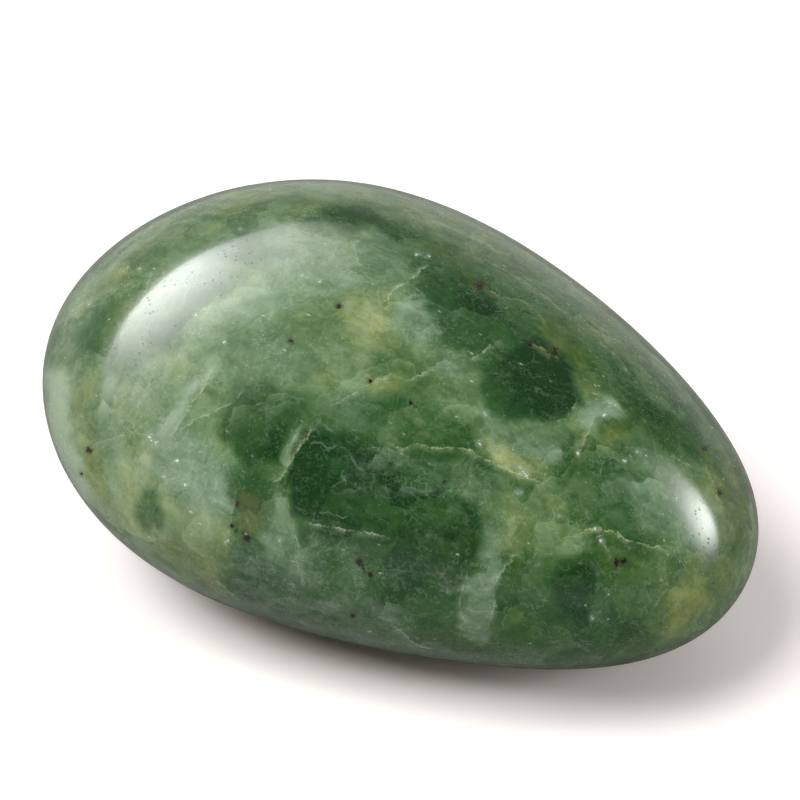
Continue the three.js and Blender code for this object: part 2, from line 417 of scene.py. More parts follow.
SEAMS = {
    "feather's edge": Seam([(224, 366), (206, 384), (193, 402), (178, 426), (167, 439)], 0.9, 0.5),
    "second feather": Seam([(247, 387), (232, 402), (214, 411), (194, 420), (173, 438)], 0.6, 0.2),
    "edge of the middle heart": Seam([(317, 426), (309, 433), (295, 455), (287, 468), (279, 480),
        (271, 484)], 1.0, 0.6),
    "long seam": Seam([(353, 451), (372, 447), (391, 445), (404, 450), (417, 443), (430, 447), (444, 448),
        (467, 448), (488, 460), (516, 473), (541, 481), (563, 487)], 0.9, 0.6),
    "nose seam": Seam([(554, 541), (579, 534), (596, 528), (614, 532), (627, 541), (654, 547), (674, 553)],
        1.0, 0.7),
    "low seam": Seam([(303, 521), (323, 526), (343, 529), (374, 534), (390, 538)], 0.7, 0.1),
    "wedge's edge": Seam([(288, 512), (295, 529), (299, 547), (297, 564), (302, 579), (308, 593)], 0.6,
        0.1),
    "tail of the ring": Seam([(432, 261), (417, 275), (404, 283), (391, 293), (381, 306)], 0.9, 0.3),
    "pocket's edge": Seam([(368, 234), (352, 246), (358, 262), (366, 276), (376, 288)], 0.4, 0.1),
    "ochre seam": Seam([(328, 408), (350, 395), (362, 387), (383, 377), (402, 371)], 0.7, 0.5),
    "short seam": Seam([(406, 381), (420, 375), (431, 369)], 0.8, 0.3),
    "dash over the blue heart": Seam([(468, 361), (480, 354), (493, 344), (503, 340)], 0.9, 0.6),
    "hook": Seam([(556, 428), (558, 420), (564, 419), (572, 412), (578, 398)], 0.6, 0.2),
    "web's spur": Seam([(626, 415), (608, 400), (590, 393)], 0.9, 0.2),
    "beads below the web": Seam([(595, 417), (588, 432), (583, 445), (577, 455)], 0.9, 0.7),
    "band's left edge": Seam([(472, 560), (462, 594), (460, 609), (466, 622), (459, 627), (472, 639)], 0.5,
        0.1),
    "band's right edge": Seam([(522, 543), (512, 560), (499, 576), (493, 588), (495, 606), (489, 626)],
        0.55, 0.2),
    "foot seam": Seam([(380, 622), (404, 632), (414, 645), (436, 650)], 0.7, 0.2),
    "left foot seam": Seam([(213, 577), (228, 590), (241, 602)], 0.5, 0.3),
    "ochre patch's edge": Seam([(240, 482), (233, 505), (231, 527), (225, 541)], 0.5, 0.6),
    "ray in the veil": Seam([(203, 322), (210, 306), (219, 290)], 0.5, 0.3),
    "left web": Seam([(92, 447), (106, 440), (121, 436), (136, 432), (150, 436)], 0.6, 0.4),
    "heart's first line": Seam([(480, 286), (500, 297), (520, 300), (538, 312), (551, 330)], 0.5, 0.9),
    "line through the dark cluster": Seam([(528, 340), (546, 352), (562, 361)], 0.7, 1.0),
    "rim line": Seam([(704, 462), (714, 486), (722, 515)], 0.5, 0.7),
    "crown line": Seam([(404, 214), (450, 226), (486, 243), (508, 257)], 0.45, 0.3),
    "second crown line": Seam([(452, 248), (490, 262), (540, 292), (575, 320)], 0.4, 0.6),
    "flank line": Seam([(598, 340), (622, 362), (642, 392)], 0.4, 0.1),
    "nose scratch": Seam([(671, 454), (693, 468)], 0.35, 0.2),
    "low nose line": Seam([(601, 541), (609, 552), (616, 566)], 0.45, 0.1),
}

# Each grain's place and its half-width, in pixels.
BLACK_GRAINS = {
    "largest, left lobe": (616, 563, 3.6),
    "largest, right lobe": (624, 561, 3.2),
    "brow": (480, 286, 4.0),
    "crown left": (339, 306, 2.7),
    "veil": (291, 341, 2.6),
    "ochre cloud": (370, 381, 2.8),
    "deep olive": (411, 403, 1.8),
    "left edge": (89, 450, 3.4),
    "ochre patch, top": (238, 504, 2.4),
    "ochre patch, side": (232, 526, 2.0),
    "ochre patch, foot": (247, 538, 3.6),
    "foot, upper": (359, 562, 3.6),
    "foot, lower": (370, 575, 3.4),
    "low foot": (353, 616, 2.2),
    "dark cluster, right": (555, 351, 3.8),
    "dark cluster, left": (530, 344, 2.6),
    "flank": (705, 449, 3.4),
    "rim": (720, 493, 3.0),
    "speckled olive": (444, 482, 1.8),
    "left edge, low": (81, 474, 1.6),
}

# Painted glints: each sparkle's place and its half-width, in pixels.
SPARKLES = {
    "veil, large": (301, 276, 3.2),
    "veil, second": (319, 281, 2.6),
    "ring, left": (417, 254, 2.4),
    "ring, right": (428, 256, 2.4),
    "band": (139, 269, 2.2),
    "band, low": (89, 304, 2.4),
    "left": (115, 397, 2.0),
    "left milk, top": (150, 436, 3.2),
    "left milk, right": (156, 443, 3.0),
    "left milk, middle": (164, 476, 3.0),
    "left milk, side": (177, 461, 2.4),
    "left milk, low": (185, 485, 2.6),
    "left milk, far": (191, 444, 1.8),
    "by the ochre patch": (226, 541, 3.4),
    "wedge": (280, 540, 3.0),
    "under the blue heart": (485, 414, 2.6),
    "seam's head": (479, 443, 3.0),
    "seam's middle": (520, 473, 3.4),
    "seam's right": (527, 475, 2.6),
    "blue smear": (519, 492, 3.4),
    "web's heart": (604, 415, 2.4),
    "beads' end": (578, 453, 2.6),
    "nose": (625, 461, 2.2),
    "nose, right": (637, 452, 1.8),
    "low nose": (602, 541, 3.0),
    "nose seam's core": (596, 529, 3.0),
    "foot": (592, 618, 2.4),
    "veil's left": (225, 342, 2.2),
    "veil's ray": (195, 315, 2.0),
    "crown": (240, 229, 2.2),
}

# The far side can't be seen in the photo: its markings are of the same kinds, freely placed, as seen from
# straight behind. Sizes are in pixels, and ranges are from the least to the most.
FAR_SEED = 31
STONE_FROM_BEHIND = (400, 412)  # its middle
STONE_REACH = (345, 195)  # how far from there markings are placed
FAR_ZONES = 54
FAR_BROAD_ZONES = 10  # the first of them, which the others lie on
FAR_BROAD_REACH = (60, 110)
FAR_BROAD_SOFT = 18
FAR_ZONE_REACH = (20, 62)
FAR_ZONE_SOFT = (7, 17)
FAR_ZONE_STRETCH = (1.25, 0.8)
FAR_CORNERS = (5, 9)
FAR_UNEVEN = (0.5, 1.25)  # corners stand nearer or farther by this
FAR_LEAN = (-1, 0.6)
FAR_BROAD_DEPTH = (0.25, 0.85)
FAR_BROAD_MILK = (0, 0.4)
FAR_DEEP = (0.68, 1.08)
FAR_MILK = (0.1, 0.6)
FAR_STAIN = (-0.8, 0.7)  # none below 0
FAR_SEAMS = 30
FAR_SEAM_BENDS = (3, 8)
FAR_SEAM_STEP = (10, 26)
FAR_SEAM_TURN = 0.45  # radians at a bend, more or less
FAR_SEAM_STRENGTH = (0.4, 1)
FAR_BLACK_GRAINS = 12
FAR_BLACK_SIZE = (1.6, 3.8)
# painted glints on the far side
FAR_SPARKLES = 26
FAR_SPARKLE_SIZE = (1.8, 3.4)
WHOLE_TURN = 2 * math.pi


def ahead(turn):
    return np.array((math.cos(turn), math.sin(turn)))


def far_place(draw):
    turn = draw.uniform(0, WHOLE_TURN)
    out = math.sqrt(draw.uniform(0, 1))
    return np.array(STONE_FROM_BEHIND) + np.array(STONE_REACH) * out * ahead(turn)


def far_zone(draw, number):
    """The first zones are broad and mild. Deep and pale ones follow by turns."""
    broad = number < FAR_BROAD_ZONES
    middle = far_place(draw)
    corners = draw.integers(*FAR_CORNERS)
    turns = np.sort(draw.uniform(0, WHOLE_TURN, corners))
    reach = draw.uniform(*FAR_UNEVEN, corners) * draw.uniform(*(FAR_BROAD_REACH if broad else FAR_ZONE_REACH))
    outline = middle + reach[:, None] * np.array([ahead(turn) for turn in turns]) * FAR_ZONE_STRETCH
    lean = draw.uniform(*FAR_LEAN)
    soft = draw.uniform(*FAR_ZONE_SOFT)
    if broad:
        depth = draw.uniform(*FAR_BROAD_DEPTH)
        return Zone(outline, depth, lean / 2, milk=draw.uniform(*FAR_BROAD_MILK), soft=FAR_BROAD_SOFT)
    if number % 2:
        return Zone(outline, depth=draw.uniform(*FAR_DEEP), lean=lean, soft=soft, fades=draw.normal(size=2))
    stain = max(0, draw.uniform(*FAR_STAIN))
    return Zone(outline, lean=lean, milk=draw.uniform(*FAR_MILK), stain=stain, soft=soft)


def far_seam(draw):
    course = [far_place(draw)]
    heading = draw.uniform(0, WHOLE_TURN)
    for _ in range(draw.integers(*FAR_SEAM_BENDS)):
        heading += draw.normal(0, FAR_SEAM_TURN)
        course.append(course[-1] + draw.uniform(*FAR_SEAM_STEP) * ahead(heading))
    return Seam(course, draw.uniform(*FAR_SEAM_STRENGTH), draw.uniform(0, 1))


def far_markings(draw):
    zones = [far_zone(draw, number) for number in range(FAR_ZONES)]
    seams = [far_seam(draw) for _ in range(FAR_SEAMS)]
    black = [(*far_place(draw), draw.uniform(*FAR_BLACK_SIZE)) for _ in range(FAR_BLACK_GRAINS)]
    sparkles = [(*far_place(draw), draw.uniform(*FAR_SPARKLE_SIZE)) for _ in range(FAR_SPARKLES)]
    return zones, seams, black, sparkles


def zone_field(pixels, zones):
    """Depth, lean, milk and stain of the green at each pixel, one zone laid over another."""
    field = np.tile(BASE_FIELD, (len(pixels), 1))
    for zone in zones:
        field += zone.share(pixels)[:, None] * (zone.green - field)
    return field


FAR_OFF = 40.0  # what is said of the distance where there is no seam or grain near, in pixels
SEAM_REACH = 16  # pixels: a seam's own stretch of surface
SEAM_SETS = 5
SEAMS_APART = 2.5 * SEAM_REACH  # in one set
SEAM_TAPER = 0.18  # the share of a seam's length over which each end fades out
GRAIN_REACH = 9  # pixels: a grain's own stretch of surface
GRAIN_CORE = 0.6 * GRAIN_REACH


def apart(seam, other):
    """The least distance between two seams' corners and middles, in pixels."""
    def marks(course):
        return np.concatenate((course, (course[1:] + course[:-1]) / 2))
    gaps = marks(seam.course)[:, None] - marks(other.course)[None]
    return np.linalg.norm(gaps, axis=2).min()


def seam_sets(seams):
    """Seams dealt into sets in which none comes near another."""
    sets = [[] for _ in range(SEAM_SETS)]
    for seam in seams:
        free = [one for one in sets if all(apart(seam, other) > SEAMS_APART for other in one)]
        (free or sets)[0].append(seam)
    return sets


def seam_field(pixels, seams):
    """Signed distance from the nearest seam in pixels, its strength and its warmth. The fourth number that
    each point holds stays 0."""
    field = np.tile((FAR_OFF, 0.0, 0.0, 0.0), (len(pixels), 1))
    for seam in seams:
        count = len(seam.course) - 1
        nearest = np.full(len(pixels), np.inf)
        signed = np.zeros(len(pixels))
        passed = np.zeros(len(pixels))
        for number in range(count):
            distance, share, side = from_line(pixels, seam.course[number], seam.course[number + 1])
            closer = distance < nearest
            nearest = np.where(closer, distance, nearest)
            signed = np.where(closer, distance * side, signed)
            passed = np.where(closer, (number + share) / count, passed)
        near = smooth(nearest, SEAM_REACH, SEAM_REACH / 2)
        taper_off = smooth(passed, 0, SEAM_TAPER) * smooth(passed, 1, 1 - SEAM_TAPER)
        mine = nearest < np.abs(field[:, 0])
        field[mine, 0] = signed[mine]
        field[mine, 1] = (seam.strength * near * taper_off)[mine]
        field[mine, 2] = seam.warm
    return field


def grain_field(pixels, grains):
    """Way from the nearest grain in pixels, its half-width, and 1 near it or 0 away from it."""
    field = np.tile((FAR_OFF, FAR_OFF, 1.0, 0.0), (len(pixels), 1))
    nearest = np.full(len(pixels), np.inf)
    for x, y, size in grains:
        way = pixels - (x, y)
        distance = np.linalg.norm(way, axis=1)
        mine = distance < nearest
        nearest = np.where(mine, distance, nearest)
        near = smooth(distance, GRAIN_REACH, GRAIN_CORE)
        field[mine] = np.column_stack((way, np.full(len(way), size), near))[mine]
    return field


STIR_SEED = 1
# How far zone edges wander, in pixels, and over what breadth.
STIRS = ((9.0, 9.0 * MM), (6.0, 3.6 * MM), (3.0, 1.7 * MM))
# Markings fade out towards the outline of the stone, where they would be drawn out long. These are ranges
# of how squarely the surface looks at the eye.
FADING_OUT = (0.02, 0.2)
FADING_OUT_BEHIND = (0, 0.1)


def stirred_pixels(pixels, points):
    """Pixels moved a little this way and that, so that no zone has a ruled edge."""
    noise.seed_set(STIR_SEED)  # or else each run would move them in its own way
    moved = pixels.copy()
    for reach, breadth in STIRS:
        swirl = np.array([noise.noise_vector(Vector(p) / breadth)[:2] for p in points])
        moved += reach * swirl
    return moved


def markings(points, outward):
    """What the finish reads at each point: its name and four numbers a point."""
    draw = np.random.default_rng(FAR_SEED)
    near_side = (
        [zone for zones in (BROAD_ZONES, DEEP_ZONES, PALE_ZONES) for zone in zones.values()],
        list(SEAMS.values()),
        list(BLACK_GRAINS.values()),
        list(SPARKLES.values()),
    )
    turned_away = -PHOTO_EYE.facing(points, outward)
    near_shown = smooth(-turned_away, *FADING_OUT)
    far_shown = smooth(turned_away, *FADING_OUT_BEHIND) * smooth(FAR_EYE.facing(points, outward), *FADING_OUT)
    sides = ((PHOTO_EYE, near_shown, near_side), (FAR_EYE, far_shown, far_markings(draw)))
    fields = []
    for eye, shown, (zones, seams, black, sparkles) in sides:
        pixels = eye.pixels(points)
        zoned = zone_field(stirred_pixels(pixels, points), zones)
        own = {"zones": BASE_FIELD + (zoned - BASE_FIELD) * shown[:, None]}
        for number, one in enumerate(seam_sets(seams)):
            own[f"seams_{number}"] = seam_field(pixels, one)
            own[f"seams_{number}"][:, 1] *= shown
        for name, grains in (("black_grains", black), ("sparkles", sparkles)):
            own[name] = grain_field(pixels, grains)
            own[name][:, 3] *= shown
        fields.append(own)
    near, far = fields
    return {name: np.where(turned_away[:, None] > 0, far[name], near[name]) for name in near}


# The finish

class Value:
    """A number, vector or colour that varies over the surface. Python's operators add Math nodes."""

    def __init__(self, finish, socket):
        self.finish = finish
        self.socket = socket

    def maths(self, operation, *others):
        sockets = dict(enumerate((self, *others)))
        return self.finish.node("ShaderNodeMath", {"operation": operation}, sockets)

    def beside(self, output):
        """Another output of the same node."""
        return Value(self.finish, self.socket.node.outputs[output])

    def __add__(self, other):
        return self.maths("ADD", other)

    def __mul__(self, other):
        return self.maths("MULTIPLY", other)

    def __sub__(self, other):
        return self.maths("SUBTRACT", other)

    def __rsub__(self, other):
        return (self * -1.0) + other

    def __abs__(self):
        return self.maths("ABSOLUTE")

    __radd__ = __add__
    __rmul__ = __mul__


class Finish:
    """A material or other shader, and the ways to add to its nodes."""

    def __init__(self, tree):
        self.tree = tree
        tree.nodes.clear()

    def node(self, kind, settings=None, sockets=None, out=0):
        """Adds a node. Its settings go first, then the values or links of its sockets."""
        made = self.tree.nodes.new(kind)
        for name, value in (settings or {}).items():
            if name == "stops":
                place_stops(made.color_ramp, value)
            else:
                setattr(made, name, value)
        for name, value in (sockets or {}).items():
            if isinstance(value, Value):
                self.tree.links.new(value.socket, made.inputs[name])
            else:
                made.inputs[name].default_value = value
        return Value(self, made.outputs[out]) if made.outputs else made

    def step(self, value, low, high):
        """0 below low, 1 above high, smooth between. High may be the lower of the two."""
        sockets = {"Value": value, "From Min": low, "From Max": high}
        return self.node("ShaderNodeMapRange", {"interpolation_type": "SMOOTHSTEP"}, sockets)

    def colours(self, share, first, second, way="MIX"):
        """First where share is 0, and second laid over it where share is 1."""
        settings = {"data_type": "RGBA", "blend_type": way}
        return self.node("ShaderNodeMix", settings, {0: share, 6: first, 7: second}, out=2)

    def cloud(self, at, size, detail=2.0, ragged=0.55):
        """Soft noise about 0.5, with lumps of this size in millimetres."""
        sockets = {"Vector": at, "Scale": 1 / size, "Detail": detail, "Roughness": ragged}
        return self.node("ShaderNodeTexNoise", None, sockets)

    def cells(self, at, size):
        """The distance from the middle of the nearest of many loose cells, as a share of their size."""
        return self.node("ShaderNodeTexVoronoi", {"feature": "F1"}, {"Vector": at, "Scale": 1 / size})

    def vectors(self, operation, first, second, out=0):
        return self.node("ShaderNodeVectorMath", {"operation": operation}, {0: first, 1: second}, out)

    def scaled(self, at, scale):
        return self.node("ShaderNodeVectorMath", {"operation": "SCALE"}, {0: at, "Scale": scale})

    def stirred(self, at, size, reach):
        """The same places, each moved by up to about reach, in swirls of this size, in millimetres."""
        swirl = self.cloud(at, size, ragged=0.5).beside("Color")
        middled = self.vectors("SUBTRACT", swirl, (0.5, 0.5, 0.5))
        return self.vectors("ADD", at, self.scaled(middled, 2 * reach))

    def turned(self, at, turn, squeeze=(1, 1, 1)):
        """The same places, turned, then squeezed along their own axes."""
        sockets = {"Vector": at, "Rotation": turn, "Scale": squeeze}
        return self.node("ShaderNodeMapping", {"vector_type": "POINT"}, sockets)

    def split(self, colour):
        """The three parts of a colour or of chance numbers."""
        first = self.node("ShaderNodeSeparateColor", None, {"Color": colour})
        return first, first.beside(1), first.beside(2)

    def field(self, name):
        """The four numbers that the mesh holds under this name."""
        settings = {"attribute_type": "GEOMETRY", "attribute_name": name}
        held = self.node("ShaderNodeAttribute", settings, out="Color")
        return *self.split(held), held.beside("Alpha")


def place_stops(ramp, stops):
    while len(ramp.elements) < len(stops):
        ramp.elements.new(1.0)
    for element, (place, colour) in zip(ramp.elements, stops):
        element.position = place
        element.color = (*colour, 1.0)


# Jade's colours, as linear light
DEEPENING_GREENS = (
    (0.0, (0.34, 0.44, 0.265)),
    (0.3, (0.176, 0.267, 0.128)),
    (0.5, (0.083, 0.158, 0.06)),
    (0.72, (0.026, 0.088, 0.018)),
    (1.0, (0.003, 0.036, 0.003)),
)
BLUE_TINT = (0.85, 0.95, 1.5, 1.0)
OLIVE_TINT = (1.45, 1.05, 0.45, 1.0)
MILK = (0.36, 0.46, 0.34, 1.0)
OCHRE = (0.13, 0.12, 0.03, 1.0)
PALE_SEAM = (0.5, 0.6, 0.43, 1.0)
WARM_SEAM = (0.42, 0.46, 0.19, 1.0)
FELT = (0.4, 0.52, 0.37, 1.0)
# the white of painted glints: the sparkles and the bright flecks
PAINTED_GLINT = (0.8, 0.86, 0.76, 1.0)
BLACK_GRAIN = (0.008, 0.006, 0.004, 1.0)
RUSTY_RIM = (0.05, 0.03, 0.012, 1.0)

# Sizes in the jade, in millimetres
BROAD_CLOUD = 11
WISP = 2.6
STREAK = 1.9
FINE_GRAIN = 0.5
CLEAR_PATCH = 9
FLAKE = 9
CHIP = 3.6
FELT_PATCH = 5
GLINT_FLECK = 1.5
KINK = 1.5
JAG = 0.45
BEAD = 1.4
CRUMB = 0.42
PIT = 0.75
PIT_PATCH = 5
POLISH_GRAIN = 0.9
CLOUD_SWIRL = (6, 2.4)  # swirls that stir the patterns: their size and how far they carry
FLAKE_SWIRL = (3.2, 2.0)
CHIP_SWIRL = (1.5, 0.9)
FELT_SWIRL = (0.9, 0.6)
THREAD_SWIRL = (2.2, 1.4)

# How patterns lie: their turn in radians, and how each of their axes is squeezed
STREAKS_LIE = ((0.4, 0.6, 0.9), (0.25, 1.1, 1.1))
GLINT_FLECKS_LIE = ((0.5, 0.35, 0.75), (0.42, 1.25, 1.25))
CROSSING_TURN = (0.9, 1.3, 0.4)
CLEAVAGE = (0.62, -0.33, -0.71)  # the way in which each flake darkens
FLAT_FLAKE = 0.35  # flakes whose chance number is this don't darken, and those below it pale

# How much each pattern deepens the green, leans it to blue, veils it and stains it
BROAD_DEEPENS = 0.35
WISPS_DEEPEN = 0.55
STREAKS_DEEPEN = 0.46
GRAIN_DEEPENS = 0.14
FLAKES_DEEPEN = 0.5
CHIPS_DEEPEN = 0.04
CLEAR_CHIPS_DEEPEN = 0.2
BROAD_LEANS = -1.4
FLAKES_LEAN = 0.4
CHIPS_LEAN = 0.3
STREAKS_VEIL = 0.8
WISPS_VEIL = -0.5
CHIPS_VEIL = -0.5
WISPS_STAIN = 0.8
GRAIN_STAINS = 0.4

# Ranges over which something sets in, from none of it to all
CLEAR = (0.4, 0.62)
TO_BLUE = (-0.1, 1.2)
TO_OLIVE = (0.1, -1.3)
VEILED = (0.12, 1.2)
STAINED = (0.15, 1.1)
EDGE_SEEN = (-0.02, 0.12)
EDGE_LINE = (0.14, 0.02)  # millimetres
THICK_FELT = (0.36, 0.62)
GLINT_FLECK_SPREAD = (0.13, 0.03)
GLINT_FLECK_CHANCE = (0.55, 0.95)
SEAM_LINE = (1.25, 0.0)  # pixels, and so are the next two
SEAM_HEM = (7.0, 0.0)
SEAM_FRONT = (-1.2, 0.2)
SEAM_BEADS = (0.36, 0.56)
HEM_BEADS = (0.3, 0.7)
HALO = (2.2, 0.4)
GRAIN_RIM = (2.2, 0.8)
GRAIN_CORE_SEEN = (1.15, 0.45)
SPARKLE_SEEN = (0.0, 1.2)
PIT_SPREAD = (0.22, 0.08)
PITTED = (0.45, 0.58)

# How strongly each marking is laid on, from 0 to 1
FLAKE_EDGE = 0.18
CHIP_EDGE = 0.08
EDGE_IN_CLOUD = 0.3  # of its strength in a clear patch
GLINT_FLECK_SHARE = 0.5
HEM_SHARE = 0.36
LINE_SHARE = 0.55
HALO_SHARE = 0.25
SPARKLE_SHARE = 0.8
RIM_SHARE = 0.5
CORE_SHARE = 0.95


def jade_green(jade, at, depth, lean, milk, stain):
    """The body colour: greens by depth, leaning to blue or olive, with milky veils and ochre stains."""
    stirred = jade.stirred(at, *CLOUD_SWIRL)
    broad = jade.cloud(stirred, BROAD_CLOUD, 4) - 0.5
    wisps = jade.cloud(stirred, WISP, 6, 0.66) - 0.5
    streaks = jade.cloud(jade.turned(stirred, *STREAKS_LIE), STREAK, 5, 0.66) - 0.5
    grain = jade.cloud(at, FINE_GRAIN, 2, 0.7) - 0.5
    clear = jade.step(jade.cloud(at, CLEAR_PATCH, 1), *CLEAR)
    flake_tilt, flake_chance, flake_edge = flakes(jade, jade.stirred(at, *FLAKE_SWIRL), FLAKE)
    chip_tilt, chip_chance, chip_edge = flakes(jade, jade.stirred(at, *CHIP_SWIRL), CHIP)

    uneven = broad * BROAD_DEEPENS + wisps * WISPS_DEEPEN + streaks * STREAKS_DEEPEN + grain * GRAIN_DEEPENS
    broken = flake_tilt * FLAKES_DEEPEN + chip_tilt * (clear * CLEAR_CHIPS_DEEPEN + CHIPS_DEEPEN)
    body = jade.node("ShaderNodeValToRGB", {"stops": DEEPENING_GREENS}, {"Fac": depth + uneven + broken})

    by_piece = (flake_chance - 0.5) * FLAKES_LEAN + (chip_chance - 0.5) * CHIPS_LEAN
    leaning = lean + broad * BROAD_LEANS + by_piece
    body = jade.colours(jade.step(leaning, *TO_BLUE), body, BLUE_TINT, "MULTIPLY")
    body = jade.colours(jade.step(leaning, *TO_OLIVE), body, OLIVE_TINT, "MULTIPLY")

    veil = milk + streaks * STREAKS_VEIL + wisps * WISPS_VEIL + chip_tilt * CHIPS_VEIL
    body = jade.colours(jade.step(veil, *VEILED), body, MILK)
    seen = jade.step(streaks, *EDGE_SEEN) * (clear * (1 - EDGE_IN_CLOUD) + EDGE_IN_CLOUD)
    body = jade.colours((flake_edge * FLAKE_EDGE + chip_edge * CHIP_EDGE) * seen, body, FELT)
    return jade.colours(jade.step(stain + wisps * WISPS_STAIN + grain * GRAIN_STAINS, *STAINED), body, OCHRE)


def flakes(jade, at, size):
    """The stone's cleavage, in flakes of this size in millimetres. It gives a shade that rises over each
    flake and breaks off at its edge, a chance number for each, and 1 on the thin edges between them."""
    cells = jade.cells(at, size)
    shade, chance, _ = jade.split(cells.beside("Color"))
    away = jade.vectors("SUBTRACT", at, cells.beside("Position"))
    tilt = jade.vectors("DOT_PRODUCT", away, tuple(part / size for part in CLEAVAGE), out="Value")
    sockets = {"Vector": at, "Scale": 1 / size}
    border = jade.node("ShaderNodeTexVoronoi", {"feature": "DISTANCE_TO_EDGE"}, sockets)
    edge = jade.step(border, EDGE_LINE[0] / size, EDGE_LINE[1] / size)
    return tilt * (shade - FLAT_FLAKE), chance, edge


def threads(jade, at, curled, size, detail, width, patch, where):
    """Thin curly threads between lumps of noise of this size. They lie in patches. All is in millimetres,
    but for their width and for where the patches set in, which are shares of the noise."""
    thread = jade.step(abs(jade.cloud(curled, size, detail) - 0.5), width, 0.0)
    return thread * jade.step(jade.cloud(at, patch), *where)


def felt(jade, at):
    """Short curly white fibres, felted together, denser in some places than in others."""
    curls = jade.stirred(at, *FELT_SWIRL)
    turned = jade.turned(curls, CROSSING_TURN)
    long_curls = jade.stirred(at, *THREAD_SWIRL)
    short = threads(jade, at, curls, size=1.05, detail=1, width=0.05, patch=1.1, where=(0.4, 0.6))
    crossing = threads(jade, at, turned, size=0.85, detail=1, width=0.05, patch=1.2, where=(0.6, 0.42))
    long_thread = threads(jade, at, long_curls, size=2.6, detail=2, width=0.012, patch=2.0, where=(0.46, 0.6))
    thick = jade.step(jade.cloud(at, FELT_PATCH, 3), *THICK_FELT)
    return short * (thick * 0.12 + 0.05) + crossing * (thick * 0.1 + 0.04) + long_thread * 0.22


def painted_glint_flecks(jade, at):
    """Painted glints: tiny bright flecks, more or less in line."""
    cells = jade.cells(jade.turned(at, *GLINT_FLECKS_LIE), GLINT_FLECK)
    chance, _, _ = jade.split(cells.beside("Color"))
    return jade.step(cells, *GLINT_FLECK_SPREAD) * jade.step(chance, *GLINT_FLECK_CHANCE)


def seams_over(jade, at, body):
    """Healed cracks: a thin ragged pale line with a faint milky hem."""
    ragged = (jade.cloud(at, KINK, 5, 0.75) - 0.5) * 11.0 + (jade.cloud(at, JAG, 1) - 0.5) * 4.0  # pixels
    beads = jade.cloud(at, BEAD, 4, 0.7)
    for number in range(SEAM_SETS):
        distance, strength, warm, _ = jade.field(f"seams_{number}")
        across = distance + ragged
        line = jade.step(abs(across), *SEAM_LINE) * strength * jade.step(beads, *SEAM_BEADS)
        hem = jade.step(across, *SEAM_HEM) * jade.step(across, *SEAM_FRONT)
        hem = hem * strength * jade.step(beads, *HEM_BEADS)
        filling = jade.colours(warm, PALE_SEAM, WARM_SEAM)
        body = jade.colours(hem * HEM_SHARE, body, filling)
        body = jade.colours(line * LINE_SHARE, body, filling)
    return body


def placed_grains(jade, name):
    """The distance from a placed grain as a share of its half-width, and 1 near it or 0 away from it."""
    across, down, size, near = jade.field(name)
    away = (across * across + down * down).maths("SQRT")
    return away.maths("DIVIDE", size), near


def grains_over(jade, at, body):
    """White sparkles, which are painted glints, in milky halos, and black grains with rusty rims. Both are
    crumbled, not round.
    """
    crumbs = jade.cloud(at, CRUMB, 2, 0.7) - 0.5
    share, near = placed_grains(jade, "sparkles")
    halo = jade.step(share + crumbs * 2.0, *HALO) * near
    body = jade.colours(halo * HALO_SHARE, body, MILK)
    sparkle = jade.step(crumbs * 6.0 - share * 1.1 + 0.7, *SPARKLE_SEEN) * near
    body = jade.colours(sparkle * SPARKLE_SHARE, body, PAINTED_GLINT)
    share, near = placed_grains(jade, "black_grains")
    lumpy = share + crumbs * 3.4
    body = jade.colours(jade.step(lumpy, *GRAIN_RIM) * near * RIM_SHARE, body, RUSTY_RIM)
    return jade.colours(jade.step(lumpy, *GRAIN_CORE_SEEN) * near * CORE_SHARE, body, BLACK_GRAIN)


def jade_finish():
    """Polished jade: mottled and veined body colour under a clear waxy polish."""
    material = bpy.data.materials.new("polished_jade")
    material.use_nodes = True
    jade = Finish(material.node_tree)
    at = jade.scaled(jade.node("ShaderNodeTexCoord", out="Object"), 1 / MM)

    depth, lean, milk, stain = jade.field("zones")
    body = jade_green(jade, at, depth, lean, milk, stain)
    body = jade.colours(felt(jade, at) * (milk * 1.3 + 1.1 - depth * 0.65), body, FELT)
    body = seams_over(jade, at, body)
    # painted glints: tiny bright flecks
    body = jade.colours(painted_glint_flecks(jade, at) * GLINT_FLECK_SHARE, body, PAINTED_GLINT)
    body = grains_over(jade, at, body)

    pits = jade.step(jade.cells(at, PIT), *PIT_SPREAD) * jade.step(jade.cloud(at, PIT_PATCH, 1), *PITTED)
    grainy = jade.cloud(at, POLISH_GRAIN)
    height = grainy * 0.02 - pits * 0.2
    relief = jade.node("ShaderNodeBump", None, {"Height": height, "Distance": 0.2 * MM, "Strength": 0.6})

    shader = jade.node("ShaderNodeBsdfPrincipled", None, {
        "Base Color": body,
        "Roughness": pits * 0.35 + grainy * 0.05 + 0.12,
        "Normal": relief,
        "IOR": 1.56,
        "Subsurface Weight": 0.2,
        "Subsurface Radius": (0.6, 1.0, 0.55),
        "Subsurface Scale": 1.6 * MM,
        "Coat Weight": 0.3,
        "Coat Roughness": 0.05,
        "Coat IOR": 1.5,
    })
    jade.node("ShaderNodeOutputMaterial", None, {"Surface": shader})
    return material


def jade_stone():
    points, squares, outward = stone_surface()
    mesh = bpy.data.meshes.new("polished_stone")
    mesh.from_pydata(points.tolist(), [], squares.tolist())
    mesh.shade_smooth()
    for name, numbers in markings(points, outward).items():
        held = mesh.attributes.new(name, "FLOAT_COLOR", "POINT")
        held.data.foreach_set("color", numbers.astype(np.float32).ravel())
    mesh.materials.append(jade_finish())
    stone = bpy.data.objects.new("polished_stone", mesh)
    bpy.context.scene.collection.objects.link(stone)
    return stone


# The studio

